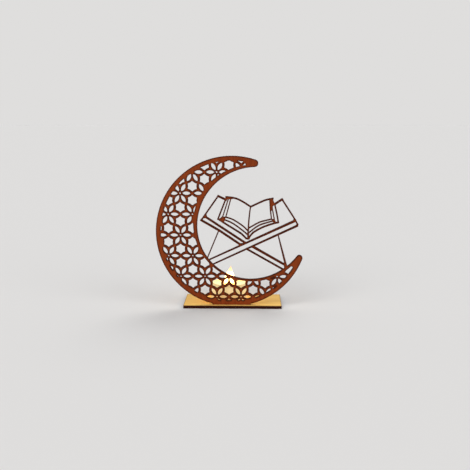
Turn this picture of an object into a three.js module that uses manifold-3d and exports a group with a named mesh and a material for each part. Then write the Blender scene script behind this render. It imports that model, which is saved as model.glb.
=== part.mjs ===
// Wooden night light. A crescent of fretwork, with an open book on a folding book stand cut
// inside it, stands in a slot of a flat base board, and a battery candle glows behind it.
// Millimetres, +Z up. The origin is the middle of the base board's underside, and the front
// of the panel faces -Y.

import * as THREE from 'three';
import { mergeVertices } from 'three/addons/utils/BufferGeometryUtils.js';
import Module from 'manifold-3d';

const wasm = await Module();
wasm.setup();

// Sheet and base board. The board's depth follows from the candle that stands on it.
const sheetThickness = 3;
const baseWidth = 98;
const panelSetback = 5;
const panelSidestep = -0.8;
const candleGap = 2.5;
const tabWidth = 37.8;
const slotClearance = 0.15;

// Crescent. The shares are of its radius.
const crescentRadius = 75;
const crescentSink = 1.6;
const openingLongShare = 0.7587;
const openingShortShare = 0.7227;
const openingLean = THREE.MathUtils.degToRad(48.7);
const openingSidestepShare = 0.284;
const openingRiseShare = 0.112;
const upperHornShare = 0.0487;
const lowerHornShare = 0.0404;
const outerBorderShare = 0.0613;
const innerBorderShare = 0.772;
const innerBorderSidestepShare = 0.264;
const innerBorderRiseShare = 0.1107;
const sillShare = 0.0533;
const plainHornShare = 0.12;

// Lattice of flowers and hexagons. The first three shares are of the crescent's radius, and the
// others are of the pitch of the flowers.
const flowerPitchShare = 0.32;
const latticeSidestepShare = -0.036;
const latticeDropShare = 0.0433;
const petalStartShare = 0.0917;
const petalEndShare = 0.4333;
const petalHalfWidthShare = 0.075;
const hexagonRadiusShare = 0.2167;
const hexagonWaistShare = 0.0167;
const dotRadiusShare = 0.0354;
const leastOpeningShare = 0.0493;

// Book and stand: their reach, and how far their middle lies from the opening's, as shares of
// the crescent's radius. The widths of their lines are shares of their reach.
const motifReachShare = 0.7333;
const motifSidestepShare = -0.0027;
const motifDropShare = 0.004;
const fineLineShare = 0.0218;
const edgeLineShare = 0.0291;
const boldLineShare = 0.0364;
const footLineShare = 0.0436;

// Candle: shell
const cupDiameter = 37;
const cupTopDiameter = 35.6;
const cupHeight = 18;
const cupWall = 1.2;
const rimWidth = 1.6;
const rimRound = 0.7;
const dishDepth = 2.2;
const dishSlope = 0.9;
const dishSwell = 0.3;
const candleSidestep = -3;

// Candle: flame
const flameHoleRadius = 5.2;
const flameHeight = 19;
const flameWall = 0.9;
const flameLean = 1.6;
const flameBellyRadius = 7.35;
const flameShoulderRadius = 2.06;
const flameTipWall = 2.7;
const flameFlangeWidth = 1.6;
const flameFlangeThickness = 1;

// Candle: bottom plate, cell and cover
const plateRecess = 0.6;
const plateThickness = 1.4;
const plateClearance = 0.25;
const snapBead = 0.35;
const ledgeWidth = 0.9;
const cellDiameter = 20;
const cellThickness = 3.2;
const cellCapRadius = 8.8;
const cellCrimp = 0.4;
const cellClearance = 0.4;
const cellSidestep = -3;
const wellWall = 2.2;
const wellRoof = 1;
const coverRadius = 11.5;
const coverThickness = 1.2;
const coverClearance = 0.25;
const lugReach = 1.3;
const lugHeight = 0.9;
const lugSpan = THREE.MathUtils.degToRad(20);
const lugTurn = THREE.MathUtils.degToRad(25);
const coinSlotLength = 13;
const coinSlotWidth = 2;
const coinSlotDepth = 0.7;

// Candle: lamp and switch
const lampRadius = 2.5;
const lampFlangeRadius = 2.9;
const lampFlangeThickness = 1;
const lampHeight = 8.6;
const legThickness = 0.5;
const legSpacing = 2.54;
const seatWall = 1;
const seatHeight = 2.6;
const switchSidestep = 13;
const switchWidth = 2.8;
const switchLength = 3.2;
const switchTravel = 2.5;
const switchFlangeWidth = 4.6;
const switchFlangeLength = 6;
const switchFlangeThickness = 1;
const switchRecess = 0.35;
const gripDepth = 0.3;
const gripWidth = 0.64;
const stripThickness = 0.3;
const stripWidth = 3;
const wiperRise = 0.5;

// Gaps between pieces, and what every cut runs past the faces that it opens
const restGap = 0.3;
const touchGap = 0.1;
const overrun = 1;

// Steps round curves
const circleSteps = 88;
const candleSteps = 56;
const smallSteps = 24;
const petalSteps = 5;
const hornSteps = 8;
const curveSteps = 8;
const lugSteps = 6;
const domeSteps = 6;
const rimSteps = 3;
const dotSteps = 8;
const halvings = 30;
const weldDistance = 0.0005;
const leastStep = 0.02;
const leastBend = 0.004;
const sharpestMitreShare = 0.5;

// Places worked out from the sizes
const tau = 2 * Math.PI;
const baseDepth = panelSetback + sheetThickness + cupDiameter + 2 * candleGap;
const panelFront = panelSetback - baseDepth / 2;
const panelBack = panelFront + sheetThickness;
const candlePlace = panelBack + candleGap + cupDiameter / 2;
const crescentCentre = point(panelSidestep, sheetThickness - crescentSink + crescentRadius);
const openingCentre = besideCrescent(openingSidestepShare, openingRiseShare);
const openingLongRadius = crescentRadius * openingLongShare;
const openingShortRadius = crescentRadius * openingShortShare;
const upperHornRadius = crescentRadius * upperHornShare;
const lowerHornRadius = crescentRadius * lowerHornShare;
const fieldRadius = crescentRadius * (1 - outerBorderShare);
const innerBorderCentre = besideCrescent(innerBorderSidestepShare, innerBorderRiseShare);
const innerBorderRadius = crescentRadius * innerBorderShare;
const sillTop = sheetThickness + crescentRadius * sillShare;
const plainHornReach = crescentRadius * plainHornShare;
const latticeCentre = besideCrescent(latticeSidestepShare, -latticeDropShare);
const flowerPitch = crescentRadius * flowerPitchShare;
const petalStart = flowerPitch * petalStartShare;
const petalEnd = flowerPitch * petalEndShare;
const petalHalfWidth = flowerPitch * petalHalfWidthShare;
const hexagonRadius = flowerPitch * hexagonRadiusShare;
const hexagonWaist = flowerPitch * hexagonWaistShare;
const dotRadius = flowerPitch * dotRadiusShare;
const leastOpeningArea = (flowerPitch * leastOpeningShare) ** 2;
const motifCentre = openingCentre.clone().add(
  point(crescentRadius * motifSidestepShare, -crescentRadius * motifDropShare)
);
const motifReach = crescentRadius * motifReachShare;
const fineLine = motifReach * fineLineShare;
const edgeLine = motifReach * edgeLineShare;
const boldLine = motifReach * boldLineShare;
const footLine = motifReach * footLineShare;

const cupRadius = cupDiameter / 2;
const cupTopRadius = cupTopDiameter / 2;
const dishFloor = cupHeight - dishDepth;
const dishUnderside = dishFloor - dishSwell - cupWall;
const plateRadius = cupRadius - cupWall - plateClearance;
const plateTop = plateRecess + plateThickness;
const cellRadius = cellDiameter / 2;
const coverTop = plateRecess + coverThickness;
const cellBottom = coverTop + restGap;
const cellTop = cellBottom + cellThickness;
const wellRadius = cellRadius + cellClearance;
const roofUnderside = cellTop + legThickness + 2 * touchGap;
const roofTop = roofUnderside + wellRoof;
const legBend = roofTop + restGap;
const lampBottom = legBend + 2 * legThickness;
const lugTop = coverTop + lugHeight;
const stripLevel = plateTop + restGap + switchFlangeThickness + wiperRise + stripThickness + touchGap;

// A closed geometry becomes a solid that can be joined and cut.
function toSolid(geometry) {
  const bare = geometry.clone();
  bare.deleteAttribute('normal');
  bare.deleteAttribute('uv');
  const merged = mergeVertices(bare, weldDistance);
  return new wasm.Manifold(new wasm.Mesh({
    numProp: 3,
    vertProperties: new Float32Array(merged.attributes.position.array),
    triVerts: new Uint32Array(merged.index.array)
  }));
}

function toGeometry(solid) {
  const mesh = solid.getMesh();
  const geometry = new THREE.BufferGeometry();
  geometry.setAttribute('position', new THREE.BufferAttribute(mesh.vertProperties, 3));
  geometry.setIndex(new THREE.BufferAttribute(mesh.triVerts, 1));
  geometry.computeVertexNormals();
  return geometry;
}

function joined(solids) {
  return solids.reduce((sum, solid) => sum.add(solid));
}

// Outlines extruded upwards from one level to another.
function extrudedGeometry(outlines, bottom, top) {
  const geometry = new THREE.ExtrudeGeometry(outlines, { depth: top - bottom, bevelEnabled: false });
  geometry.translate(0, 0, bottom);
  return geometry;
}

function slab(outlines, bottom, top) {
  return toSolid(extrudedGeometry(outlines, bottom, top));
}

// A profile of radius and height revolved about the upright axis.
function turnedGeometry(profile, steps) {
  const geometry = new THREE.LatheGeometry(profile, steps);
  geometry.rotateX(Math.PI / 2);
  return geometry;
}

function point(x, y) {
  return new THREE.Vector2(x, y);
}

// A place given by how far it lies to the right of the crescent's centre and above it.
function besideCrescent(rightShare, upShare) {
  return point(crescentCentre.x + crescentRadius * rightShare, crescentCentre.y + crescentRadius * upShare);
}

function polarPoint(centre, radius, angle) {
  return point(centre.x + radius * Math.cos(angle), centre.y + radius * Math.sin(angle));
}

function arcPoints(centre, radius, from, to, steps) {
  const points = [];
  for (let i = 0; i <= steps; i += 1) {
    points.push(polarPoint(centre, radius, from + (to - from) * i / steps));
  }
  return points;
}

// An arc with as many steps as its share of a whole turn calls for.
function evenArc(centre, radius, from, to) {
  const steps = Math.max(2, Math.round(circleSteps * Math.abs(to - from) / tau));
  return arcPoints(centre, radius, from, to, steps);
}

function disc(centre, radius, steps) {
  return new THREE.Shape(arcPoints(centre, radius, 0, tau, steps).slice(1));
}

function rectangle(left, bottom, right, top) {
  return new THREE.Shape([point(left, bottom), point(right, bottom), point(right, top), point(left, top)]);
}

// Part of a ring, as an outline.
function ringSector(centre, inner, outer, from, to, steps) {
  return new THREE.Shape([
    ...arcPoints(centre, outer, from, to, steps),
    ...arcPoints(centre, inner, to, from, steps)
  ]);
}

// The opening is a slightly oval circle: how far its edge lies from its centre, in a direction.
function openingRadius(direction) {
  const along = Math.cos(direction - openingLean) / openingLongRadius;
  const across = Math.sin(direction - openingLean) / openingShortRadius;
  return 1 / Math.hypot(along, across);
}

function openingArc(from, to) {
  const steps = Math.round(circleSteps * Math.abs(to - from) / tau);
  const points = [];
  for (let i = 0; i <= steps; i += 1) {
    const direction = from + (to - from) * i / steps;
    points.push(polarPoint(openingCentre, openingRadius(direction), direction));
  }
  return points;
}

// The round cap of a horn touches the crescent's circle and the opening. Its angle about the
// crescent's centre is found by halving the span that it must lie in.
function hornCap(side, radius) {
  let inside = openingCentre.clone().sub(crescentCentre).angle();
  let outside = inside + side * Math.PI / 2;
  let angle = inside;
  let centre = crescentCentre;
  let direction = 0;
  for (let i = 0; i < halvings; i += 1) {
    angle = (inside + outside) / 2;
    centre = polarPoint(crescentCentre, crescentRadius - radius, angle);
    direction = centre.clone().sub(openingCentre).angle();
    const gap = centre.distanceTo(openingCentre) - openingRadius(direction);
    if (gap > radius) outside = angle;
    else inside = angle;
  }
  return { centre, angle, direction };
}
const lowerCap = hornCap(-1, lowerHornRadius);
const upperCap = hornCap(1, upperHornRadius);

// Crescent: the outer circle with its tab below, and the opening, joined by a round cap at the
// tip of each horn.
function crescentOutline() {
  const lowerTouch = lowerCap.direction - tau;
  const upperTouch = upperCap.direction;
  const tabSpread = Math.asin(tabWidth / 2 / crescentRadius);
  const foot = -Math.PI / 2;
  return new THREE.Shape([
    point(panelSidestep - tabWidth / 2, 0),
    point(panelSidestep + tabWidth / 2, 0),
    ...evenArc(crescentCentre, crescentRadius, foot + tabSpread, lowerCap.angle),
    ...arcPoints(lowerCap.centre, lowerHornRadius, lowerCap.angle, lowerTouch + Math.PI, hornSteps)
      .slice(1),
    ...openingArc(lowerTouch, upperTouch - tau).slice(1),
    ...arcPoints(upperCap.centre, upperHornRadius, upperTouch - Math.PI, upperCap.angle, hornSteps)
      .slice(1),
    ...evenArc(crescentCentre, crescentRadius, upperCap.angle, tau + foot - tabSpread).slice(1)
  ]);
}

// Petal: a pointed lens that lies along a ray from its flower's centre.
function petalOutline(flower, angle) {
  const halfLength = (petalEnd - petalStart) / 2;
  const radius = (halfLength ** 2 + petalHalfWidth ** 2) / (2 * petalHalfWidth);
  const sweep = Math.asin(halfLength / radius);
  const across = angle + Math.PI / 2;
  const middle = polarPoint(flower, petalStart + halfLength, angle);
  const leftCentre = polarPoint(middle, radius - petalHalfWidth, across);
  const rightCentre = polarPoint(middle, petalHalfWidth - radius, across);
  return new THREE.Shape([
    ...arcPoints(rightCentre, radius, across + sweep, across - sweep, petalSteps).reverse(),
    ...arcPoints(leftCentre, radius, across + Math.PI + sweep, across + Math.PI - sweep, petalSteps)
      .reverse().slice(1, -1)
  ]);
}

// Hexagon that stands on a corner, with its sides drawn in a little at their middles.
function hexagonOutline(centre) {
  const corners = [];
  const sideRadius = hexagonRadius * Math.cos(Math.PI / 6) - hexagonWaist;
  for (let i = 0; i < 6; i += 1) {
    const corner = Math.PI / 6 + i * Math.PI / 3;
    corners.push(polarPoint(centre, hexagonRadius, corner));
    corners.push(polarPoint(centre, sideRadius, corner + Math.PI / 6));
  }
  return new THREE.Shape(corners);
}

// Lattice: flowers on a triangular grid, and a hexagon in the middle of each triangle.
function latticeOutlines() {
  const rowStep = flowerPitch * Math.sqrt(3) / 2;
  const reach = Math.ceil(crescentRadius / rowStep) + 1;
  const outlines = [];
  for (let row = -reach; row <= reach; row += 1) {
    const shift = row % 2 === 0 ? 0 : flowerPitch / 2;
    for (let column = -reach; column <= reach; column += 1) {
      const flower = point(
        latticeCentre.x + column * flowerPitch + shift,
        latticeCentre.y + row * rowStep
      );
      if (flower.distanceTo(crescentCentre) > crescentRadius + flowerPitch) continue;
      for (let i = 0; i < 6; i += 1) {
        outlines.push(petalOutline(flower, i * Math.PI / 3));
      }
      outlines.push(disc(flower, dotRadius, dotSteps));
      outlines.push(hexagonOutline(point(flower.x, flower.y + rowStep * 2 / 3)));
      outlines.push(hexagonOutline(point(flower.x, flower.y - rowStep * 2 / 3)));
    }
  }
  return outlines;
}

// The lattice's openings stay inside the crescent's borders. Slivers, and what would weaken
// the tips of the horns, are left uncut.
function latticeSolid(bottom, top) {
  const field = slab([disc(crescentCentre, fieldRadius, circleSteps)], bottom, top);
  const opening = joined([
    disc(innerBorderCentre, innerBorderRadius, circleSteps),
    disc(lowerCap.centre, plainHornReach, smallSteps),
    disc(upperCap.centre, plainHornReach, smallSteps)
  ].map((outline) => slab([outline], bottom - overrun, top + overrun)));
  const sill = slab(
    [rectangle(crescentCentre.x - crescentRadius, -overrun, crescentCentre.x + crescentRadius, sillTop)],
    bottom - overrun, top + overrun
  );
  const band = field.subtract(opening).subtract(sill);
  const pattern = slab(latticeOutlines(), bottom - overrun, top + overrun);
  const leastVolume = leastOpeningArea * (top - bottom);
  return joined(band.intersect(pattern).decompose().filter((hole) => hole.volume() > leastVolume));
}

// Lines of the book stand, then of the book: each path runs through points given as shares of
// the motif's reach, from its centre, and its width grows evenly from one end to the other.
const standLines = [
  { pathShares: [[-0.93, 0.065], [-0.625, 0.5]], from: edgeLine, to: edgeLine },
  { pathShares: [[-0.625, 0.5], [-0.487, 0.435]], from: boldLine, to: boldLine },
  { pathShares: [[-0.86, 0.13], [-0.15, -0.338]], from: boldLine, to: boldLine },
  { pathShares: [[-0.93, 0.065], [-0.6, -0.125], [-0.23, -0.375]], from: boldLine, to: boldLine },
  { pathShares: [[0, -0.416], [0.595, -0.755]], from: footLine, to: boldLine },
  { pathShares: [[-0.115, -0.455], [0.582, -0.85]], from: edgeLine, to: edgeLine },
  { pathShares: [[-0.8, -0.66], [0.755, 0.06]], from: fineLine, to: footLine },
  { pathShares: [[-0.735, -0.745], [0.785, -0.034]], from: fineLine, to: boldLine },
  { pathShares: [[0.775, -0.033], [0.797, -0.005], [0.727, 0.118], [0.515, 0.444]],
    from: edgeLine, to: edgeLine },
  { pathShares: [[0.515, 0.444], [0.39, 0.36]], from: boldLine, to: boldLine },
  { pathShares: [[-0.622, -0.136], [-0.828, -0.635]], from: fineLine, to: fineLine },
  { pathShares: [[0.45, -0.2], [0.605, -0.79]], from: fineLine, to: footLine }
];
const bookLines = [
  { pathShares: [[-0.48, 0.47], [-0.63, 0.087]], from: edgeLine, to: edgeLine },
  { pathShares: [[-0.443, 0.45], [-0.535, 0.16], [-0.552, 0.118]], from: fineLine, to: fineLine },
  { pathShares: [[-0.398, 0.46], [-0.49, 0.118]], from: fineLine, to: fineLine },
  { pathShares: [[-0.482, 0.484], [-0.32, 0.462], [-0.184, 0.4], [-0.044, 0.309]],
    from: edgeLine, to: edgeLine, curved: true },
  { pathShares: [[-0.044, 0.309], [0.09, 0.373], [0.22, 0.43], [0.35, 0.458]],
    from: edgeLine, to: edgeLine, curved: true },
  { pathShares: [[-0.046, 0.305], [-0.06, 0.215], [-0.077, 0.044], [-0.085, -0.118]],
    from: fineLine, to: edgeLine, curved: true },
  { pathShares: [[-0.484, 0.118], [-0.364, 0.08], [-0.182, -0.038], [-0.09, -0.13]],
    from: fineLine, to: fineLine, curved: true },
  { pathShares: [[-0.518, 0.076], [-0.364, 0.009], [-0.182, -0.124], [-0.09, -0.205]],
    from: fineLine, to: fineLine, curved: true },
  { pathShares: [[-0.622, 0.085], [-0.455, -0.025], [-0.21, -0.178], [-0.127, -0.262],
    [-0.073, -0.265]], from: edgeLine, to: edgeLine, curved: true },
  { pathShares: [[-0.069, -0.071], [0.091, 0.02], [0.182, 0.052], [0.327, 0.087]],
    from: fineLine, to: fineLine, curved: true },
  { pathShares: [[-0.08, -0.165], [0.091, -0.033], [0.273, 0.031], [0.382, 0.06]],
    from: fineLine, to: fineLine, curved: true },
  { pathShares: [[-0.073, -0.255], [0, -0.158], [0.182, -0.055], [0.364, 0.008], [0.452, 0.028]],
    from: edgeLine, to: edgeLine, curved: true },
  { pathShares: [[0.3, 0.44], [0.309, 0.25], [0.328, 0.095]], from: edgeLine, to: fineLine },
  { pathShares: [[0.338, 0.3], [0.385, 0.055]], from: fineLine, to: fineLine },
  { pathShares: [[0.385, 0.36], [0.43, 0.155], [0.452, 0.03]], from: edgeLine, to: edgeLine }
];

// Places where the lines run together into solid wood.
const motifPatches = [
  { cornerShares: [[-0.907, 0.096], [-0.842, 0.189], [-0.822, 0.111]] },
  { cornerShares: [[-0.255, -0.356], [-0.178, -0.351], [-0.178, -0.38], [-0.264, -0.416]] },
  { cornerShares: [[0.733, 0.118], [0.785, 0.049], [0.709, 0.036]] },
  { cornerShares: [[-0.495, 0.483], [-0.36, 0.468], [-0.365, 0.448], [-0.495, 0.44]] },
  { cornerShares: [[0.782, -0.052], [0.806, -0.039], [0.811, -0.004], [0.78, 0]] },
  { cornerShares: [[0.56, -0.762], [0.612, -0.762], [0.627, -0.818], [0.573, -0.836]] },
  { cornerShares: [[-0.609, 0.085], [-0.564, 0.127], [-0.484, 0.128], [-0.505, 0.071],
    [-0.518, 0.027]] },
  { cornerShares: [[-0.091, -0.1], [-0.109, -0.182], [-0.098, -0.271], [-0.076, -0.271],
    [-0.069, -0.182]] },
  { cornerShares: [[0.29, 0.445], [0.35, 0.456], [0.39, 0.355], [0.352, 0.32], [0.352, 0.24],
    [0.305, 0.24]] },
  { cornerShares: [[0.327, 0.091], [0.382, 0.087], [0.405, 0.045], [0.391, 0.018], [0.345, 0.042]] }
];

function motifPoint([acrossShare, upShare]) {
  return point(motifCentre.x + acrossShare * motifReach, motifCentre.y + upShare * motifReach);
}

// A line of wood along a path, run on at both ends by half of its width.
function lineOutline({ pathShares, from, to, curved }) {
  const corners = pathShares.map(motifPoint);
  const path = curved ? new THREE.SplineCurve(corners).getPoints(curveSteps) : corners;
  const last = path.length - 1;
  const left = [];
  const right = [];
  path.forEach((place, i) => {
    const before = path[Math.max(i - 1, 0)];
    const after = path[Math.min(i + 1, last)];
    const arriving = place.clone().sub(before).normalize();
    const leaving = after.clone().sub(place).normalize();
    const along = arriving.clone().add(leaving).normalize();
    const half = (from + (to - from) * i / last) / 2;
    const mitre = half / Math.max(along.dot(i === 0 ? leaving : arriving), sharpestMitreShare);
    const onward = i === 0 ? -half : i === last ? half : 0;
    const centre = place.clone().addScaledVector(along, onward);
    left.push(point(centre.x - along.y * mitre, centre.y + along.x * mitre));
    right.push(point(centre.x + along.y * mitre, centre.y - along.x * mitre));
  });
  return new THREE.Shape([...right, ...left.reverse()]);
}

function patchOutline({ cornerShares }) {
  return new THREE.Shape(cornerShares.map(motifPoint));
}

// A loop of points without those that lie too close to the last one kept, or on the straight
// line from it to the next.
function tidyLoop(loop) {
  const kept = [];
  loop.forEach((place, i) => {
    const before = kept.length > 0 ? kept[kept.length - 1] : loop[loop.length - 1];
    const after = loop[(i + 1) % loop.length];
    const span = after.clone().sub(before);
    const offset = place.clone().sub(before);
    if (offset.length() < leastStep) return;
    if (Math.abs(span.cross(offset)) < leastBend * span.length()) return;
    kept.push(place);
  });
  return kept;
}

// The edges of a sheet's top face, chained into loops: the outline, and then its holes.
function tracedLoops(sheet, top) {
  const mesh = sheet.getMesh();
  const places = mesh.vertProperties;
  const corners = mesh.triVerts;
  const edges = new Set();
  for (let i = 0; i < corners.length; i += 3) {
    const triangle = [corners[i], corners[i + 1], corners[i + 2]];
    if (triangle.some((corner) => places[3 * corner + 2] < top - leastBend)) continue;
    triangle.forEach((corner, k) => edges.add(`${corner} ${triangle[(k + 1) % 3]}`));
  }
  const onward = new Map();
  edges.forEach((edge) => {
    const [from, to] = edge.split(' ');
    if (!edges.has(`${to} ${from}`)) onward.set(from, to);
  });
  const loops = [];
  while (onward.size > 0) {
    const loop = [];
    let corner = onward.keys().next().value;
    while (onward.has(corner)) {
      const to = onward.get(corner);
      onward.delete(corner);
      loop.push(point(places[3 * corner], places[3 * corner + 1]));
      corner = to;
    }
    loops.push(tidyLoop(loop));
  }
  const area = (loop) => Math.abs(THREE.ShapeUtils.area(loop));
  return loops.sort((one, other) => area(other) - area(one));
}

// Panel: crescent, lattice, book and stand are one sheet, cut flat and then stood up.
function frettedPanel() {
  const crescent = slab([crescentOutline()], 0, sheetThickness);
  const lattice = latticeSolid(-overrun, sheetThickness + overrun);
  const outlines = [...standLines, ...bookLines].map(lineOutline).concat(motifPatches.map(patchOutline));
  const motif = outlines.map((outline) => slab([outline], 0, sheetThickness));
  const [edge, ...holes] = tracedLoops(joined([crescent.subtract(lattice), ...motif]), sheetThickness)
    .map((loop) => new THREE.Shape(loop));
  const cuts = slab(holes, -overrun, sheetThickness + overrun);
  const geometry = toGeometry(slab([edge], 0, sheetThickness).subtract(cuts));
  geometry.rotateX(Math.PI / 2);
  geometry.translate(0, panelBack, 0);
  return geometry;
}

// Base board, with the slot that the panel's tab stands in, tight between the slot's ends.
function baseBoard() {
  const outline = rectangle(-baseWidth / 2, -baseDepth / 2, baseWidth / 2, baseDepth / 2);
  outline.holes.push(rectangle(
    panelSidestep - tabWidth / 2,
    panelFront - slotClearance,
    panelSidestep + tabWidth / 2,
    panelBack + slotClearance
  ));
  return extrudedGeometry([outline], 0, sheetThickness);
}

// Candle shell: a tapered cup, open below, with a rolled rim, a dished top that the flame
// stands through, a ledge that stops the bottom plate and a bead that holds it in.
function candleCup() {
  const innerRadius = cupRadius - cupWall;
  const innerTopRadius = cupTopRadius - cupWall;
  const rimCentre = point(cupTopRadius - rimRound, cupHeight - rimRound);
  const plateCeiling = plateTop + touchGap;
  const beadTop = plateRecess - touchGap;
  const profile = [
    point(innerRadius - snapBead, 0),
    point(cupRadius, 0),
    ...arcPoints(rimCentre, rimRound, 0, Math.PI / 2, rimSteps),
    point(cupTopRadius - rimWidth, cupHeight),
    point(cupTopRadius - rimWidth - dishSlope, dishFloor),
    point(flameHoleRadius + 2 * dishSlope, dishFloor - dishSwell),
    point(flameHoleRadius, dishFloor),
    point(flameHoleRadius, dishUnderside),
    point(innerTopRadius, dishUnderside),
    point(innerRadius - ledgeWidth, plateCeiling + ledgeWidth),
    point(innerRadius - ledgeWidth, plateCeiling),
    point(innerRadius, plateCeiling),
    point(innerRadius, beadTop),
    point(innerRadius - snapBead, beadTop / 2)
  ];
  return turnedGeometry([...profile, profile[0].clone()], candleSteps);
}

// Flame: a hollow teardrop on a flange that lies under the dish. Its tip leans to one side.
function flameTip() {
  const neckRadius = flameHoleRadius - restGap;
  const neckTop = dishFloor;
  const flangeTop = dishUnderside - touchGap;
  const flangeBottom = flangeTop - flameFlangeThickness;
  const flangeRadius = flameHoleRadius + flameFlangeWidth;
  const tip = neckTop + flameHeight;
  const bellyShare = 0.3;
  const shoulderShare = 0.68;
  const outside = new THREE.CubicBezierCurve(
    point(neckRadius, neckTop),
    point(flameBellyRadius, neckTop + flameHeight * bellyShare),
    point(flameShoulderRadius, neckTop + flameHeight * shoulderShare),
    point(0, tip)
  );
  const inside = new THREE.CubicBezierCurve(
    point(neckRadius - flameWall, neckTop),
    point(flameBellyRadius - flameWall, neckTop + flameHeight * bellyShare),
    point(flameShoulderRadius - flameWall, neckTop + flameHeight * shoulderShare - flameWall),
    point(0, tip - flameTipWall)
  );
  const profile = [
    ...inside.getPoints(curveSteps).reverse(),
    point(neckRadius - flameWall, flangeBottom),
    point(flangeRadius, flangeBottom),
    point(flangeRadius, flangeTop),
    point(neckRadius, flangeTop),
    ...outside.getPoints(curveSteps)
  ];
  const geometry = turnedGeometry(profile, smallSteps);
  const places = geometry.attributes.position;
  for (let i = 0; i < places.count; i += 1) {
    const rise = Math.max(0, (places.getZ(i) - neckTop) / flameHeight);
    places.setX(i, places.getX(i) + flameLean * rise * rise);
  }
  return geometry;
}

// Lamp: a round body with a domed end on a wider flange.
function ledLamp() {
  const domeCentre = point(0, lampBottom + lampHeight - lampRadius);
  const profile = [
    point(0, lampBottom),
    point(lampFlangeRadius, lampBottom),
    point(lampFlangeRadius, lampBottom + lampFlangeThickness),
    point(lampRadius, lampBottom + lampFlangeThickness),
    ...arcPoints(domeCentre, lampRadius, 0, Math.PI / 2, domeSteps)
  ];
  profile[profile.length - 1].setX(0);
  return turnedGeometry(profile, smallSteps);
}

// A bent strip or wire: its side outline, drawn in x and z, given a width in y.
function bentStrip(corners, width) {
  const geometry = extrudedGeometry([new THREE.Shape(corners)], -width / 2, width / 2);
  geometry.rotateX(Math.PI / 2);
  return geometry;
}

// The positive leg runs over the cell's well and down to the switch.
function positiveLeg() {
  const near = legSpacing / 2 - legThickness / 2;
  const far = switchSidestep + switchWidth / 2;
  return bentStrip([
    point(near, legBend),
    point(far, legBend),
    point(far, stripLevel),
    point(far + legThickness, stripLevel),
    point(far + legThickness, legBend + legThickness),
    point(near + legThickness, legBend + legThickness),
    point(near + legThickness, lampBottom),
    point(near, lampBottom)
  ], legThickness);
}

// The negative leg goes down through the well's roof and lies on the cell.
function negativeLeg() {
  const near = -legSpacing / 2 + legThickness / 2;
  const drop = near - legSpacing;
  const end = cellSidestep - cellRadius / 2;
  const low = cellTop + touchGap;
  return bentStrip([
    point(near, lampBottom),
    point(near - legThickness, lampBottom),
    point(near - legThickness, legBend + legThickness),
    point(drop - legThickness, legBend + legThickness),
    point(drop - legThickness, low + legThickness),
    point(end, low + legThickness),
    point(end, low),
    point(drop, low),
    point(drop, legBend),
    point(near, legBend)
  ], legThickness);
}

// Coin cell: a flat can with a rolled edge, and a smaller raised cap on top.
function coinCell() {
  const edge = cellTop - cellCrimp;
  const profile = [
    point(0, cellBottom),
    point(cellRadius - cellCrimp / 2, cellBottom),
    point(cellRadius, cellBottom + cellCrimp / 2),
    point(cellRadius, edge - cellCrimp / 2),
    point(cellRadius - cellCrimp / 2, edge),
    point(cellCapRadius, edge),
    point(cellCapRadius - cellCrimp / 2, cellTop),
    point(0, cellTop)
  ];
  const geometry = turnedGeometry(profile, candleSteps);
  geometry.translate(cellSidestep, 0, 0);
  return geometry;
}

// Contact strip from the cell's side, over the plate, to the switch.
function positiveContact() {
  const near = cellSidestep + cellRadius + touchGap;
  const far = switchSidestep;
  const low = cellBottom + restGap;
  return bentStrip([
    point(near, low),
    point(near + stripThickness, low),
    point(near + stripThickness, stripLevel),
    point(far, stripLevel),
    point(far, stripLevel + stripThickness),
    point(near, stripLevel + stripThickness)
  ], stripWidth);
}

// Both lugs stand across the line to the switch, one on each side.
function lugSectors(inner, outer, from, to) {
  const centre = point(cellSidestep, 0);
  return [1, -1].map((side) => {
    const middle = side * Math.PI / 2;
    return ringSector(centre, inner, outer, middle + from, middle + to, lugSteps);
  });
}

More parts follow.
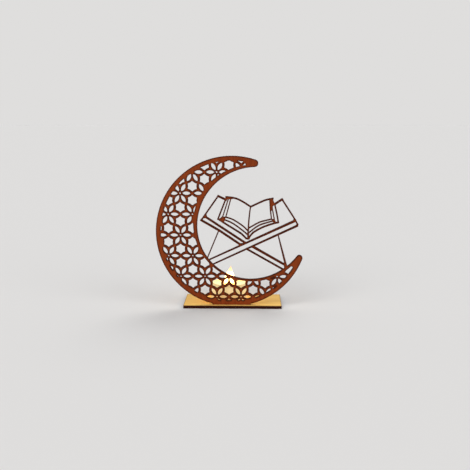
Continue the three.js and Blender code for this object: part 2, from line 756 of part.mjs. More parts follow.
// Bottom plate: the cell's well stands on it, roofed over, with the lamp's seat on top. The
// cover's hole has a notch for each lug, and windows in the well let the lugs turn.
function underTray() {
  const wellCentre = point(cellSidestep, 0);
  const axis = point(0, 0);
  const coverHole = coverRadius + coverClearance;
  const lugRadius = coverRadius + lugReach + coverClearance;
  const seatRadius = lampFlangeRadius + coverClearance;
  const lugSlack = Math.asin(coverClearance / coverRadius);
  const lockedFrom = -lugSpan / 2 - lugSlack;
  const freeTo = lugTurn + lugSpan / 2 + lugSlack;
  const slotHalfLength = (switchLength + switchTravel) / 2 + coverClearance;
  const slotHalfWidth = switchWidth / 2 + coverClearance;
  const contactEdge = cellSidestep + wellRadius - cellClearance;
  const wellEdge = cellSidestep + wellRadius + wellWall;
  const legWidth = legThickness + 2 * restGap;
  const legDropReach = legSpacing + legSpacing / 2;
  const plate = slab([disc(axis, plateRadius, candleSteps)], plateRecess, plateTop);
  const well = slab([disc(wellCentre, wellRadius + wellWall, candleSteps)], plateRecess, roofTop);
  const seat = slab([disc(axis, seatRadius + seatWall, smallSteps)], roofUnderside,
    roofTop + seatHeight);
  const cuts = [
    slab([disc(wellCentre, coverHole, candleSteps)], plateRecess - overrun, plateTop),
    slab([disc(wellCentre, wellRadius, candleSteps)], plateRecess - overrun, roofUnderside),
    slab(lugSectors(coverHole - overrun, lugRadius, freeTo - lugSpan - 2 * lugSlack, freeTo),
      plateRecess - overrun, plateTop + overrun),
    slab(lugSectors(wellRadius - overrun, wellRadius + wellWall + overrun, lockedFrom, freeTo),
      plateTop, lugTop + coverClearance),
    slab([disc(axis, seatRadius, smallSteps)], roofTop, roofTop + seatHeight + overrun),
    slab([rectangle(-seatRadius - seatWall - overrun, -legWidth / 2,
      seatRadius + seatWall + overrun, legWidth / 2)], roofTop, lampBottom),
    slab([rectangle(-legDropReach - legWidth, -legWidth / 2, -legSpacing / 2, legWidth / 2)],
      roofUnderside - overrun, roofTop + overrun),
    slab([rectangle(contactEdge, -stripWidth / 2 - restGap, wellEdge + overrun,
      stripWidth / 2 + restGap)], plateTop, stripLevel + stripThickness + restGap),
    slab([rectangle(switchSidestep - slotHalfWidth, -slotHalfLength,
      switchSidestep + slotHalfWidth, slotHalfLength)], plateRecess - overrun, plateTop + overrun)
  ];
  return toGeometry(cuts.reduce((solid, cut) => solid.subtract(cut), joined([plate, well, seat])));
}

// Cover: a disc with two lugs on top, which hook over the plate, and a coin slot below.
function batteryCover() {
  const centre = point(cellSidestep, 0);
  const lugFoot = cellRadius + cellClearance;
  const lugLevel = plateTop + touchGap;
  const body = slab([disc(centre, coverRadius, candleSteps)], plateRecess, coverTop);
  const posts = slab(lugSectors(lugFoot, coverRadius - touchGap, -lugSpan / 2, lugSpan / 2),
    coverTop - coverThickness / 2, lugTop);
  const lugs = slab(
    lugSectors(lugFoot + lugReach / 2, coverRadius + lugReach, -lugSpan / 2, lugSpan / 2),
    lugLevel, lugTop
  );
  const coinSlot = slab([rectangle(centre.x - coinSlotLength / 2, -coinSlotWidth / 2,
    centre.x + coinSlotLength / 2, coinSlotWidth / 2)],
  plateRecess - overrun, plateRecess + coinSlotDepth);
  return toGeometry(joined([body, posts, lugs]).subtract(coinSlot));
}

// Switch slider: a flange above the plate, and a neck through the slot that ends in a grip
// with two grooves. At rest it stands at the "on" end of its travel.
function switchSlider() {
  const rest = switchTravel / 2;
  const flangeBottom = plateTop + touchGap;
  const flangeTop = plateTop + restGap + switchFlangeThickness;
  const groove = gripWidth;
  const neck = slab([rectangle(
    switchSidestep - switchWidth / 2, rest - switchLength / 2,
    switchSidestep + switchWidth / 2, rest + switchLength / 2
  )], switchRecess, flangeTop);
  const flange = slab([rectangle(
    switchSidestep - switchFlangeWidth / 2, rest - switchFlangeLength / 2,
    switchSidestep + switchFlangeWidth / 2, rest + switchFlangeLength / 2
  )], flangeBottom, flangeTop);
  const grooves = [-1, 1].map((side) => slab([rectangle(
    switchSidestep - switchWidth, rest + side * groove - groove / 2,
    switchSidestep + switchWidth, rest + side * groove + groove / 2
  )], switchRecess - overrun, switchRecess + gripDepth));
  return toGeometry(grooves.reduce((solid, cut) => solid.subtract(cut), neck.add(flange)));
}

// Wiper: a springy strip on the slider, arched up to bridge the strip and the lamp's leg.
function switchWiper() {
  const rest = switchTravel / 2;
  const floor = plateTop + restGap + switchFlangeThickness;
  const halfLength = switchFlangeWidth / 2 - restGap;
  const middle = switchSidestep;
  const geometry = bentStrip([
    point(middle - halfLength, floor),
    point(middle - halfLength / 2, floor),
    point(middle - halfLength / 4, floor + wiperRise),
    point(middle + halfLength / 4, floor + wiperRise),
    point(middle + halfLength / 2, floor),
    point(middle + halfLength, floor),
    point(middle + halfLength, floor + stripThickness),
    point(middle + halfLength / 2 + stripThickness / 2, floor + stripThickness),
    point(middle + halfLength / 4 + stripThickness / 2, floor + wiperRise + stripThickness),
    point(middle - halfLength / 4 - stripThickness / 2, floor + wiperRise + stripThickness),
    point(middle - halfLength / 2 - stripThickness / 2, floor + stripThickness),
    point(middle - halfLength, floor + stripThickness)
  ], switchLength);
  geometry.translate(0, rest, 0);
  return geometry;
}

function finish(color, roughness, metalness) {
  return new THREE.MeshStandardMaterial({ color, roughness, metalness });
}

function piece(name, geometry, material) {
  const mesh = new THREE.Mesh(geometry, material);
  mesh.name = name;
  return mesh;
}

const candle = new THREE.Group();
candle.position.set(panelSidestep + candleSidestep, candlePlace, sheetThickness);
candle.add(
  piece('candle_cup', candleCup(), finish('#efe9dc', 0.45, 0)),
  piece('flame_tip', flameTip(), finish('#ffb84d', 0.3, 0)),
  piece('led_lamp', ledLamp(), finish('#ffd98a', 0.1, 0)),
  piece('led_leg_positive', positiveLeg(), finish('#b9bcc0', 0.3, 1)),
  piece('led_leg_negative', negativeLeg(), finish('#b9bcc0', 0.3, 1)),
  piece('under_tray', underTray(), finish('#e6e1d6', 0.5, 0)),
  piece('coin_cell', coinCell(), finish('#c7c9cc', 0.25, 1)),
  piece('contact_positive', positiveContact(), finish('#c9a24a', 0.3, 1)),
  piece('battery_cover', batteryCover(), finish('#dcd7cc', 0.5, 0)),
  piece('switch_slider', switchSlider(), finish('#1d1d1f', 0.5, 0)),
  piece('switch_wiper', switchWiper(), finish('#c9a24a', 0.3, 1))
);

const group = new THREE.Group();
group.add(
  piece('base_board', baseBoard(), finish('#c08a52', 0.7, 0)),
  piece('fretted_panel', frettedPanel(), finish('#6b3a31', 0.7, 0)),
  candle
);

export default group;
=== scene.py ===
import math

import bmesh
import bpy
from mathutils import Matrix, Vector


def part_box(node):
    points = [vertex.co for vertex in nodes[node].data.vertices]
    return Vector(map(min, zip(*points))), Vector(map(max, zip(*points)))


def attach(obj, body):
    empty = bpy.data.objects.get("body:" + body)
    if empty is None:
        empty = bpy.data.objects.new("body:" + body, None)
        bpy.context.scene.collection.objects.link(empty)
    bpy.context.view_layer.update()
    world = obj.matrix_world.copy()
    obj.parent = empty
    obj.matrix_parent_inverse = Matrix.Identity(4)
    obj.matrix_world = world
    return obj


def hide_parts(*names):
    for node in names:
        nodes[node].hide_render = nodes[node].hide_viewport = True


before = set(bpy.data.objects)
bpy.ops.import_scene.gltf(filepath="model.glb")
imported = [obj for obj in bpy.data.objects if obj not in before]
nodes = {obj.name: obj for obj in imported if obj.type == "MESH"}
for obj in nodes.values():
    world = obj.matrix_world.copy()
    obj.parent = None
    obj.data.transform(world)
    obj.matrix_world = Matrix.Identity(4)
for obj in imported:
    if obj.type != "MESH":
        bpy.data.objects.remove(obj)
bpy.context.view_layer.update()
mm = 0.001
print("frame loaded:", len(nodes), "nodes")


# camera: level with the top of the crescent's opening, looking a little down
camera = {
    "place": (0.0176, -0.7458, 0.18745),
    "down": 8.85,  # degrees
    "turn": 1.27,  # degrees
    "lens": 57.01,  # mm
    "sensor": 36,  # mm
    "near": 0.01,
    "picture": 470,  # pixels
    "shift": (1, -0.85),  # pixels
}
lens = bpy.data.cameras.new("camera")
lens.lens = camera["lens"]
lens.sensor_width = camera["sensor"]
lens.clip_start = camera["near"]
lens.shift_x, lens.shift_y = [pixels / camera["picture"] for pixels in camera["shift"]]
viewer = bpy.data.objects.new("camera", lens)
viewer.location = camera["place"]
viewer.rotation_euler = (math.radians(90 - camera["down"]), 0, math.radians(camera["turn"]))
bpy.context.scene.collection.objects.link(viewer)
bpy.context.scene.camera = viewer
print("camera set")


# one socket of a material, so that sums of sockets read as sums
class Wire:
    def __init__(self, tree, socket=None):
        self.tree = tree
        self.socket = socket

    def node(self, kind, settings=None, inputs=None, out=0):
        made = self.tree.nodes.new(kind)
        for name, value in (settings or {}).items():
            if name == "stops":
                ramp = made.color_ramp
                while len(ramp.elements) < len(value):
                    ramp.elements.new(0.5)
                for element, (place, colour) in zip(ramp.elements, value):
                    element.position = place
                    element.color = (*colour, 1)
            else:
                setattr(made, name, value)
        for name, value in (inputs or {}).items():
            socket = made.inputs[name]
            if isinstance(value, Wire):
                self.tree.links.new(value.socket, socket)
            elif socket.type == "RGBA":
                socket.default_value = (*value, 1)
            else:
                socket.default_value = value
        return Wire(self.tree, made.outputs[out] if made.outputs else None)

    def other(self, name):  # another output of the same node
        return Wire(self.tree, self.socket.node.outputs[name])

    def maths(self, operation, first, second=0.0, clamp=False):
        settings = {"operation": operation, "use_clamp": clamp}
        return self.node("ShaderNodeMath", settings, {0: first, 1: second})

    def __add__(self, value):
        return self.maths("ADD", self, value)

    def __radd__(self, value):
        return self.maths("ADD", value, self)

    def __sub__(self, value):
        return self.maths("SUBTRACT", self, value)

    def __rsub__(self, value):
        return self.maths("SUBTRACT", value, self)

    def __mul__(self, value):
        return self.maths("MULTIPLY", self, value)

    def __rmul__(self, value):
        return self.maths("MULTIPLY", value, self)

    def __abs__(self):
        return self.maths("ABSOLUTE", self)

    def wave(self):
        return self.maths("SINE", self)

    def held(self):  # kept between 0 and 1
        return self.maths("ADD", self, 0.0, clamp=True)

    def over(self, edge, softness):  # 0 below the edge, 1 above it
        return self.node(
            "ShaderNodeMapRange",
            {"interpolation_type": "SMOOTHSTEP"},
            {"Value": self, "From Min": edge - softness, "From Max": edge + softness},
        )

    def share(self, low, high):  # 0 at the low end, 1 at the high end
        return self.node("ShaderNodeMapRange", None, {"Value": self, "From Min": low, "From Max": high})

    def paint(self, below, above):  # this socket as the share between two colours
        return self.node("ShaderNodeMix", {"data_type": "RGBA"}, {0: self, 6: below, 7: above}, out=2)

    def ramp(self, stops):
        return self.node("ShaderNodeValToRGB", {"stops": stops}, {0: self})

    def times(self, colour):  # a colour multiplied by another
        return self.node("ShaderNodeVectorMath", {"operation": "MULTIPLY"}, {0: self, 1: colour})

    def parts(self):
        split = self.node("ShaderNodeSeparateXYZ", None, {0: self})
        return [split.other(name) for name in ("X", "Y", "Z")]

    def stretched(self, scale, turn=(0, 0, 0)):
        return self.node("ShaderNodeMapping", None, {"Vector": self, "Scale": scale, "Rotation": turn})

    def noise(self, scale, detail=3.0, roughness=0.5, twist=0.0):
        return self.node(
            "ShaderNodeTexNoise",
            None,
            {"Vector": self, "Scale": scale, "Detail": detail, "Roughness": roughness, "Distortion": twist},
        )

    def bump(self, depth):  # this socket as a height, with its depth in metres
        return self.node("ShaderNodeBump", None, {"Height": self, "Distance": depth, "Strength": 1.0})


def startMaterial(name):
    material = bpy.data.materials.new(name)
    material.use_nodes = True
    material.node_tree.nodes.clear()
    wire = Wire(material.node_tree)
    place = wire.node("ShaderNodeTexCoord").other("Object")
    return material, wire, place


def endMaterial(wire, fixed, varying):
    shader = wire.node("ShaderNodeBsdfPrincipled", None, {**fixed, **varying})
    wire.node("ShaderNodeOutputMaterial", None, {"Surface": shader})


# laser-cut plywood: grain along one way on its faces, charred plies on its cut edges
grain = {
    "fine": (900.0, 38.0),  # across and along the grain, in waves to a metre
    "broad": (150.0, 9.0),
    "poreShare": 2.1,  # how much finer the pores are than the fine grain
    "fineTurn": (0, 0.03, 0.02),
    "broadTurn": (0, 0.05, 0.04),
    "cloud": 28.0,
    "smoke": 120.0,
    "beam": (2600.0, 60.0),  # beam marks along the edge and through the sheet
    "ply": (0.52 * mm, 0.12 * mm),  # half the middle ply, and how softly it ends
    "relief": 0.06 * mm,
}


def alongOne(scales, axis):
    across, along = scales
    return [along if index == axis else across for index in range(3)]


def plywood(name, wood, through, along):
    material, wire, place = startMaterial(name)
    normal = wire.node("ShaderNodeNewGeometry").other("Normal")
    cut = 1 - abs(normal.parts()[through]).over(0.7, 0.1)  # 1 on a cut edge

    fine = alongOne(grain["fine"], along)
    broad = alongOne(grain["broad"], along)
    wavy = place.stretched(fine, grain["fineTurn"]).noise(1.0, 5.0, 0.62, 0.6)
    figure = place.stretched(broad, grain["broadTurn"]).noise(1.0, 3.0, 0.5, 1.4)
    rings = (figure * 26.0).wave() * 0.5 + 0.5
    pores = place.stretched([value * grain["poreShare"] for value in fine]).noise(1.0, 2.0).over(0.66, 0.05)
    cloud = place.noise(grain["cloud"], 3.0, 0.55)
    smoke = place.noise(grain["smoke"], 4.0, 0.6)

    # heat has browned the face beside each cut, and most of all the narrow ribs between two cuts
    depthOfWood = wire.node(
        "ShaderNodeAmbientOcclusion",
        {"inside": True, "only_local": True, "samples": 12},
        {"Distance": wood["rim"]},
    ).other("AO")
    rim = (1 - depthOfWood).over(0.24, 0.16)
    scorch = (rim * (0.62 + smoke * 0.6)).held()

    tone = (wavy * 0.62 + rings * 0.2 + cloud * 0.5 - 0.16).held()
    face = tone.paint(wood["dark"], wood["light"])
    face = (pores * 0.45).paint(face, wood["pore"])
    face = scorch.paint(face, wood["scorch"])

    # fine ridges that the beam leaves across the thickness, and the darker middle ply
    ridges = place.stretched(alongOne(grain["beam"], through)).noise(1.0, 3.0, 0.6)
    depth = place.parts()[through]
    middle = 1 - abs(depth - wood["middle"]).over(*grain["ply"])
    char = (ridges * 0.8 + smoke * 0.3 - middle * 0.35).held()
    edge = char.paint(wood["char"], wood["ember"])

    faceHeight = wavy * 0.5 + rings * 0.15 - pores * 0.5
    height = faceHeight * (1 - cut) + ridges * cut * 1.4 - scorch * 0.3
    endMaterial(
        wire,
        {"IOR": 1.46, "Specular IOR Level": wood["gloss"]},
        {
            "Base Color": cut.paint(face, edge),
            "Roughness": (0.5 + wavy * 0.22 + cut * 0.16 + scorch * 0.1).held(),
            "Normal": height.bump(grain["relief"]),
        },
    )
    return material


panelLow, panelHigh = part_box("fretted_panel")
# the panel's dark red-brown is partly the wood's own colour and partly painted shade, from its front face
# standing unlit with the light behind it
panel = {
    "dark": (0.135, 0.021, 0.004),
    "light": (0.315, 0.056, 0.009),
    "pore": (0.07, 0.011, 0.003),
    "scorch": (0.055, 0.009, 0.002),
    "char": (0.01, 0.002, 0.001),
    "ember": (0.06, 0.009, 0.003),
    "rim": 2.1 * mm,  # how far the scorch reaches in from a cut
    "middle": (panelLow.y + panelHigh.y) / 2,
    "gloss": 0.09,
}
panelWood = plywood("panel_wood", panel, through=1, along=2)

boardLow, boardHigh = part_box("base_board")
# the board's amber tan is partly the plywood's own colour and partly painted warm light from the candle
board = {
    "dark": (0.76, 0.43, 0.1),
    "light": (0.98, 0.64, 0.17),
    "pore": (0.44, 0.19, 0.035),
    "scorch": (0.16, 0.045, 0.014),
    "char": (0.01, 0.002, 0.001),
    "ember": (0.06, 0.009, 0.003),
    "rim": 1.3 * mm,
    "middle": (boardLow.z + boardHigh.z) / 2,
    "gloss": 0.1,
}
boardWood = plywood("board_wood", board, through=2, along=0)
print("wood painted")


# moulded plastic: a fine spark texture, faint flow marks and a little dust
moulding = {"grit": 2600.0, "flow": (90.0, 90.0, 40.0), "dust": 420.0, "relief": 0.02 * mm}


def plastic(name, finish):
    material, wire, place = startMaterial(name)
    grit = place.noise(moulding["grit"], 2.0)
    flow = place.stretched(moulding["flow"]).noise(1.0, 3.0, 0.5, 0.8)
    dust = place.noise(moulding["dust"], 4.0, 0.65).over(0.6, 0.12)
    varying = {
        "Base Color": (flow * 0.7 + dust * 0.25).held().paint(finish["light"], finish["dark"]),
        "Roughness": (finish["roughness"] + flow * 0.12 + dust * 0.14).held(),
        "Normal": (grit * 0.6 + flow * 0.4).bump(moulding["relief"]),
    }
    # painted glow: the shell is no lamp; its emission stands in for the lamp's light coming through the wall
    if "glow" in finish:  # light from inside comes through the wall, most of it near the flame
        height = place.parts()[2].share(finish["from"], finish["to"])
        glow = (height + flow * 0.1 - 0.05).ramp(finish["glow"])
        # painted light: the wall throws more light onto other things than it shows
        seen = wire.node("ShaderNodeLightPath").other("Is Camera Ray")
        varying["Emission Color"] = seen.paint(glow.times(finish["thrown"]), glow)
    endMaterial(wire, {"IOR": 1.49, **finish.get("fixed", {})}, varying)
    return material


cupLow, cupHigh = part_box("candle_cup")
shellPlastic = plastic(
    "shell_plastic",
    {
        "light": (0.68, 0.6, 0.46),
        "dark": (0.56, 0.47, 0.33),
        "roughness": 0.36,
        "fixed": {"Emission Strength": 1.0},
        "glow": [
            (0.0, (0.3, 0.17, 0.05)),
            (0.45, (0.56, 0.42, 0.17)),
            (0.78, (0.64, 0.5, 0.22)),
            (0.9, (0.55, 0.41, 0.16)),
            (1.0, (0.5, 0.36, 0.13)),
        ],
        "thrown": (6.0, 5.0, 3.6),
        "from": cupLow.z,
        "to": cupHigh.z,
    },
)
trayPlastic = plastic(
    "tray_plastic", {"light": (0.76, 0.68, 0.54), "dark": (0.61, 0.52, 0.39), "roughness": 0.42}
)
coverPlastic = plastic(
    "cover_plastic", {"light": (0.73, 0.64, 0.5), "dark": (0.57, 0.48, 0.35), "roughness": 0.4}
)
switchPlastic = plastic(
    "switch_plastic", {"light": (0.022, 0.022, 0.024), "dark": (0.05, 0.048, 0.046), "roughness": 0.38}
)


# plated or rolled metal: drawn lines one way and a few dull spots
rolling = {"spots": 500.0, "relief": 0.01 * mm}


def metal(name, finish):
    material, wire, place = startMaterial(name)
    lines = place.stretched(finish["lines"]).noise(1.0, 3.0, 0.6)
    spots = place.noise(rolling["spots"], 3.0, 0.6).over(0.6, 0.1)
    endMaterial(
        wire,
        {"Metallic": 1.0},
        {
            "Base Color": (lines * 0.5 + spots * 0.4).held().paint(finish["light"], finish["dark"]),
            "Roughness": (finish["roughness"] + lines * 0.14 + spots * 0.2).held(),
            "Normal": lines.bump(rolling["relief"]),
        },
    )
    return material


wireMetal = metal(
    "tinned_wire",
    {
        "light": (0.62, 0.63, 0.64),
        "dark": (0.4, 0.4, 0.4),
        "roughness": 0.22,
        "lines": (200.0, 2600.0, 2600.0),
    },
)
cellMetal = metal(
    "cell_steel",
    {
        "light": (0.7, 0.7, 0.69),
        "dark": (0.5, 0.5, 0.49),
        "roughness": 0.24,
        "lines": (1800.0, 120.0, 1800.0),
    },
)
brassMetal = metal(
    "spring_brass",
    {
        "light": (0.8, 0.58, 0.26),
        "dark": (0.55, 0.36, 0.14),
        "roughness": 0.25,
        "lines": (150.0, 2600.0, 2600.0),
    },
)
print("plastic and metal painted")


# lit plastic: pale and bright low down in the middle, amber towards the tip and the neck
frosting = {"frost": 1400.0, "ripple": (500.0, 500.0, 70.0), "relief": 0.05 * mm}


def flameLight(name, low, high, flame):
    material, wire, place = startMaterial(name)
    height = place.parts()[2].share(low, high)
    frost = place.noise(frosting["frost"], 3.0, 0.6)
    ripple = place.stretched(frosting["ripple"]).noise(1.0, 2.0)
    endMaterial(
        wire,
        {"IOR": 1.45, "Emission Strength": flame["strength"]},
        {
            "Base Color": (frost * 0.6).paint(flame["light"], flame["dark"]),
            "Emission Color": (height + ripple * 0.06 - 0.03).held().ramp(flame["glow"]),
            "Roughness": (0.34 + frost * 0.2).held(),
            "Normal": (frost * 0.4 + ripple * 0.6).bump(frosting["relief"]),
        },
    )
    return material


weld = 0.001 * mm  # points nearer than this are one


def newPiece(name, mesh, material, body, replaced):
    for face in mesh.faces:
        face.smooth = True
    data = bpy.data.meshes.new(name)
    mesh.to_mesh(data)
    mesh.free()
    data.materials.append(material)
    piece = bpy.data.objects.new(name, data)
    bpy.context.scene.collection.objects.link(piece)
    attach(piece, body)
    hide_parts(replaced)
    return piece


# a profile of (radius, height) turned about the upright axis through a place
def turned(profile, place, steps, closed):
    mesh = bmesh.new()
    points = [mesh.verts.new((place.x + radius, place.y, height)) for radius, height in profile]
    edges = [mesh.edges.new(pair) for pair in zip(points, points[1:])]
    if closed:
        edges.append(mesh.edges.new((points[-1], points[0])))
    bmesh.ops.spin(
        mesh, geom=points + edges, cent=place, axis=(0, 0, 1), angle=2 * math.pi, steps=steps, use_merge=True
    )
    bmesh.ops.remove_doubles(mesh, verts=mesh.verts, dist=weld)
    bmesh.ops.recalc_face_normals(mesh, faces=mesh.faces)
    return mesh


def arc(centreX, centreY, radius, start, end, steps):  # part of a circle, in degrees
    angles = [math.radians(start + (end - start) * index / steps) for index in range(steps + 1)]
    return [(centreX + radius * math.cos(angle), centreY + radius * math.sin(angle)) for angle in angles]


def bezier(a, b, c, d, steps):
    points = []
    for index in range(steps + 1):
        t = index / steps
        weights = ((1 - t) ** 3, 3 * (1 - t) ** 2 * t, 3 * (1 - t) * t**2, t**3)
        x, y = [sum(weight * value for weight, value in zip(weights, line)) for line in zip(a, b, c, d)]
        points.append((x, y))
    return points


def middleOf(low, high):  # the upright axis of a round piece
    return Vector(((low.x + high.x) / 2, (low.y + high.y) / 2, 0))


# candle shell: the same cup as the solid, with rounder edges
cup = {
    "lean": 0.7 * mm,  # how far the wall leans in from foot to rim
    "wall": 1.2 * mm,
    "rimRound": 0.7 * mm,
    "rimWidth": 1.6 * mm,
    "rimInside": 0.25 * mm,
    "rimInsideSteps": 5,
    "rimSoften": 0.2 * mm,
    "dishDepth": 2.2 * mm,
    "dishWall": 1.5 * mm,
    "dishFoot": [(0.75, -0.35), (1.3, -0.02), (3.2, 0.16)],  # mm in from the rim, mm below the dish
    "dishMiddle": [(3.4, 0.3), (1.5, 0.27), (0.4, 0.05), (0.1, 0.1), (0, 0.3)],  # mm out from the hole
    "holeRadius": 5.2 * mm,
    "ledgeWidth": 0.9 * mm,
    "ledge": (2.1 * mm, 3.0 * mm),
    "bead": (0.35 * mm, 0.25 * mm, 0.5 * mm),  # how far in it stands, and where it starts and ends
    "lip": 0.25 * mm,
    "footRound": 0.25 * mm,
    "steps": 128,
}
cupRadius = (cupHigh.x - cupLow.x) / 2
topRadius = cupRadius - cup["lean"]
rimFoot = topRadius - cup["rimWidth"]
dishZ = cupHigh.z - cup["dishDepth"]
innerTop = topRadius - cup["wall"]
innerFoot = cupRadius - cup["wall"]
ledgeRadius = innerFoot - cup["ledgeWidth"]
ledgeLow, ledgeTop = cup["ledge"]
beadReach, beadLow, beadTop = cup["bead"]
cupProfile = (
    arc(cupRadius - cup["footRound"], cupLow.z + cup["footRound"], cup["footRound"], -90, 0, 4)
    + arc(topRadius - cup["rimRound"], cupHigh.z - cup["rimRound"], cup["rimRound"], 0, 90, 8)
    + arc(
        rimFoot + cup["rimSoften"],
        cupHigh.z - cup["rimInside"],
        cup["rimInside"],
        90,
        170,
        cup["rimInsideSteps"],
    )
    + [(rimFoot - inward * mm, dishZ - depth * mm) for inward, depth in cup["dishFoot"]]
    + [(cup["holeRadius"] + outward * mm, dishZ - depth * mm) for outward, depth in cup["dishMiddle"]]
    + [(cup["holeRadius"], dishZ - cup["dishWall"]), (innerTop, dishZ - cup["dishWall"])]
    + [(ledgeRadius, cupLow.z + ledgeTop), (ledgeRadius, cupLow.z + ledgeLow)]
    + [(innerFoot, cupLow.z + ledgeLow), (innerFoot, cupLow.z + beadTop)]
    + [(innerFoot - beadReach, cupLow.z + beadLow), (innerFoot - cup["lip"], cupLow.z)]
)
candleAxis = middleOf(cupLow, cupHigh)
cupMesh = turned(cupProfile, candleAxis, cup["steps"], closed=True)
newPiece("candle_shell", cupMesh, shellPlastic, "candle", "candle_cup")


# flame: hollow teardrop whose tip leans, on a flange under the dish
flameLow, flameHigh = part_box("flame_tip")
flame = {
    "neck": 4.9 * mm,
    "belly": 7.35 * mm,
    "shoulder": 2.06 * mm,
    "bellyShare": 0.3,  # of the rise from the dish to the tip
    "shoulderShare": 0.68,
    "wall": 0.9 * mm,
    "tipWall": 2.7 * mm,
    "flangeWidth": 1.9 * mm,
    "flangeDrop": 1.6 * mm,
    "lean": 1.6 * mm,
    "outsideSteps": 28,
    "insideSteps": 20,
    "steps": 64,
    "light": (1.0, 0.72, 0.36),
    "dark": (0.95, 0.6, 0.26),
    "strength": 16.0,
    "glow": [
        (0.0, (0.095, 0.036, 0.009)),
        (0.1, (0.21, 0.1, 0.032)),
        (0.28, (0.95, 0.56, 0.19)),
        (0.55, (0.8, 0.44, 0.13)),
        (0.74, (0.16, 0.084, 0.032)),
        (0.88, (0.088, 0.04, 0.012)),
        (1.0, (0.07, 0.025, 0.006)),
    ],
}
rise = flameHigh.z - dishZ
bellyZ = dishZ + rise * flame["bellyShare"]
shoulderZ = dishZ + rise * flame["shoulderShare"]
innerNeck = flame["neck"] - flame["wall"]
flangeRadius = flame["neck"] + flame["flangeWidth"]
flangeTop = dishZ - flame["flangeDrop"]
outside = bezier(
    (flame["neck"], dishZ),
    (flame["belly"], bellyZ),
    (flame["shoulder"], shoulderZ),
    (0, flameHigh.z),
    flame["outsideSteps"],
)
inside = bezier(
    (innerNeck, dishZ),
    (flame["belly"] - flame["wall"], bellyZ),
    (flame["shoulder"] - flame["wall"], shoulderZ - flame["wall"]),
    (0, flameHigh.z - flame["tipWall"]),
    flame["insideSteps"],
)
flameProfile = (
    inside[::-1]
    + [(innerNeck, flameLow.z), (flangeRadius, flameLow.z)]
    + [(flangeRadius, flangeTop), (flame["neck"], flangeTop)]
    + outside
)
flameMesh = turned(flameProfile, candleAxis, flame["steps"], closed=False)
for vert in flameMesh.verts:
    upShare = max(0, (vert.co.z - dishZ) / rise)
    vert.co.x += flame["lean"] * upShare**2
flameGlow = flameLight("flame_light", dishZ, flameHigh.z, flame)
newPiece("flame_shell", flameMesh, flameGlow, "candle", "flame_tip")


# lamp inside the flame: a dome on a flange
lampLow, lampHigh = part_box("led_lamp")
lamp = {"radius": 2.5 * mm, "flange": 1.0 * mm, "round": 0.15 * mm, "steps": 48}
lampEdge = (lampHigh.y - lampLow.y) / 2 - lamp["round"]
flangeZ = lampLow.z + lamp["flange"]
lampProfile = (
    [(0, lampLow.z)]
    + arc(lampEdge, lampLow.z + lamp["round"], lamp["round"], -90, 0, 3)
    + arc(lampEdge, flangeZ - lamp["round"], lamp["round"], 0, 90, 3)
    + [(lamp["radius"], flangeZ)]
    + arc(0, lampHigh.z - lamp["radius"], lamp["radius"], 0, 90, 12)
)
lampMesh = turned(lampProfile, middleOf(lampLow, lampHigh), lamp["steps"], closed=False)
lampGlow = flameLight("lamp_light", lampLow.z, lampHigh.z, flame)
newPiece("amber_lamp", lampMesh, lampGlow, "candle", "led_lamp")
print("candle shell, flame and lamp made")


# the other pieces keep their solid's shape, each as one joined mesh, with its edges softened where
# a width is given. The fretwork and the bottom plate stay sharp.
softening = {"flat": 2, "sharp": 35, "shade": 30, "segments": 2}  # degrees, and steps round an edge
solidPieces = [
    {
        "name": "fretwork_sheet",
        "node": "fretted_panel",
        "finish": panelWood,
        "body": "stand",
        "slot": "panel",
    },
    {
        "name": "slotted_board",
        "node": "base_board",
        "finish": boardWood,
        "body": "stand",
        "slot": "board",
        "soften": 0.12 * mm,
    },
    {
        "name": "cover_disc",
        "node": "battery_cover",
        "finish": coverPlastic,
        "body": "cover",
        "slot": "cover",
        "soften": 0.05 * mm,
    },
    {
        "name": "switch_button",
        "node": "switch_slider",
        "finish": switchPlastic,
        "body": "switch",
        "slot": "switch",
        "soften": 0.1 * mm,
    },
    {
        "name": "bottom_plate",
        "node": "under_tray",
        "finish": trayPlastic,
        "body": "candle",
        "slot": "tray",
    },
    {
        "name": "round_cell",
        "node": "coin_cell",
        "finish": cellMetal,
        "body": "candle",
        "slot": "cell",
        "soften": 0.1 * mm,
    },
    {
        "name": "lamp_leg_long",
        "node": "led_leg_positive",
        "finish": wireMetal,
        "body": "candle",
        "slot": "wire",
        "soften": 0.06 * mm,
    },
    {
        "name": "lamp_leg_short",
        "node": "led_leg_negative",
        "finish": wireMetal,
        "body": "candle",
        "slot": "wire",
        "soften": 0.06 * mm,
    },
    {
        "name": "contact_strip",
        "node": "contact_positive",
        "finish": brassMetal,
        "body": "candle",
        "slot": "contact",
        "soften": 0.05 * mm,
    },
    {
        "name": "switch_bridge",
        "node": "switch_wiper",
        "finish": brassMetal,
        "body": "switch",
        "slot": "contact",
        "soften": 0.05 * mm,
    },
]


def joinedCopy(piece):
    mesh = bmesh.new()
    mesh.from_mesh(nodes[piece["node"]].data)
    bmesh.ops.remove_doubles(mesh, verts=mesh.verts, dist=weld)
    width = piece.get("soften", 0)
    if width:
        flat = math.radians(softening["flat"])
        bmesh.ops.dissolve_limit(mesh, angle_limit=flat, verts=mesh.verts, edges=mesh.edges)
        bmesh.ops.bevel(
            mesh,
            geom=[edge for edge in mesh.edges if edge.calc_face_angle(0) > math.radians(softening["sharp"])],
            offset=width,
            segments=softening["segments"],
            profile=0.5,
            affect="EDGES",
            material=-1,
            clamp_overlap=False,
        )
    made = newPiece(piece["name"], mesh, piece["finish"], piece["body"], piece["node"])
    if width:
        made.data.set_sharp_from_angle(angle=math.radians(softening["shade"]))
    else:
        made.data.shade_flat()


for piece in solidPieces:
    joinedCopy(piece)
print("sheets and small parts made")


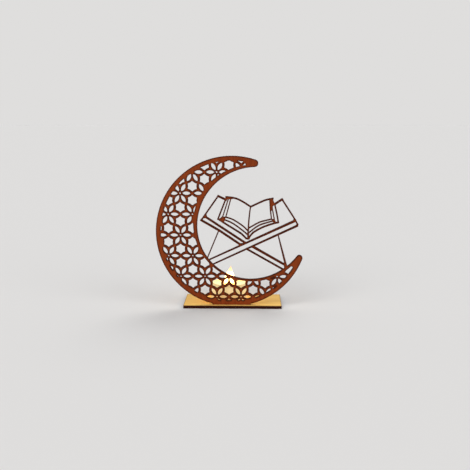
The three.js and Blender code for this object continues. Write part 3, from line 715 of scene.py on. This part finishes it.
# floor, background and studio light
stage = {
    "floor": (0.78, 0.77, 0.755),
    "roughness": 0.8,
    "radius": 20,
    "sky": (0.738, 0.73, 0.722),
    "air": (0.93, 0.95, 1.0),
    "airStrength": 0.38,
    "softness": 40,  # degrees across which each lamp's light is spread
}
floorMesh = bmesh.new()
bmesh.ops.create_circle(floorMesh, cap_ends=True, segments=96, radius=stage["radius"])
floorData = bpy.data.meshes.new("floor")
floorMesh.to_mesh(floorData)
floorMesh.free()
floorMaterial, floorWire, _ = startMaterial("floor")
endMaterial(
    floorWire, {"Base Color": stage["floor"], "Roughness": stage["roughness"], "Specular IOR Level": 0.0}, {}
)
floorData.materials.append(floorMaterial)
floor = bpy.data.objects.new("floor", floorData)
bpy.context.scene.collection.objects.link(floor)

world = bpy.data.worlds.new("studio")
bpy.context.scene.world = world
world.use_nodes = True
world.node_tree.nodes.clear()
sky = Wire(world.node_tree)
ray = sky.node("ShaderNodeLightPath")
straight = (ray.other("Is Camera Ray") + ray.other("Is Glossy Ray") + ray.other("Is Transmission Ray")).held()
air = sky.node("ShaderNodeBackground", None, {"Color": stage["air"], "Strength": stage["airStrength"]})
backdrop = sky.node("ShaderNodeBackground", None, {"Color": stage["sky"], "Strength": 1.0})
mixed = sky.node("ShaderNodeMixShader", None, {0: straight, 1: air, 2: backdrop})
sky.node("ShaderNodeOutputWorld", None, {"Surface": mixed})

studioLamps = [
    {"name": "key", "from": (-0.5, -0.75, 0.65), "power": 1.4, "tint": (1.0, 0.98, 0.95)},
    {"name": "fill", "from": (0.65, -0.55, 0.5), "power": 0.7, "tint": (0.97, 0.98, 1.0)},
    {"name": "top", "from": (0.2, 0.6, 0.75), "power": 0.9, "tint": (1.0, 0.99, 0.97)},
]
for studioLamp in studioLamps:
    light = bpy.data.lights.new(studioLamp["name"], "SUN")
    light.energy = studioLamp["power"]
    light.angle = math.radians(stage["softness"])
    light.color = studioLamp["tint"]
    holder = bpy.data.objects.new(studioLamp["name"], light)
    holder.rotation_euler = (-Vector(studioLamp["from"])).to_track_quat("-Z", "Y").to_euler()
    bpy.context.scene.collection.objects.link(holder)
bpy.context.scene.view_settings.view_transform = "Standard"
print("stage lit")
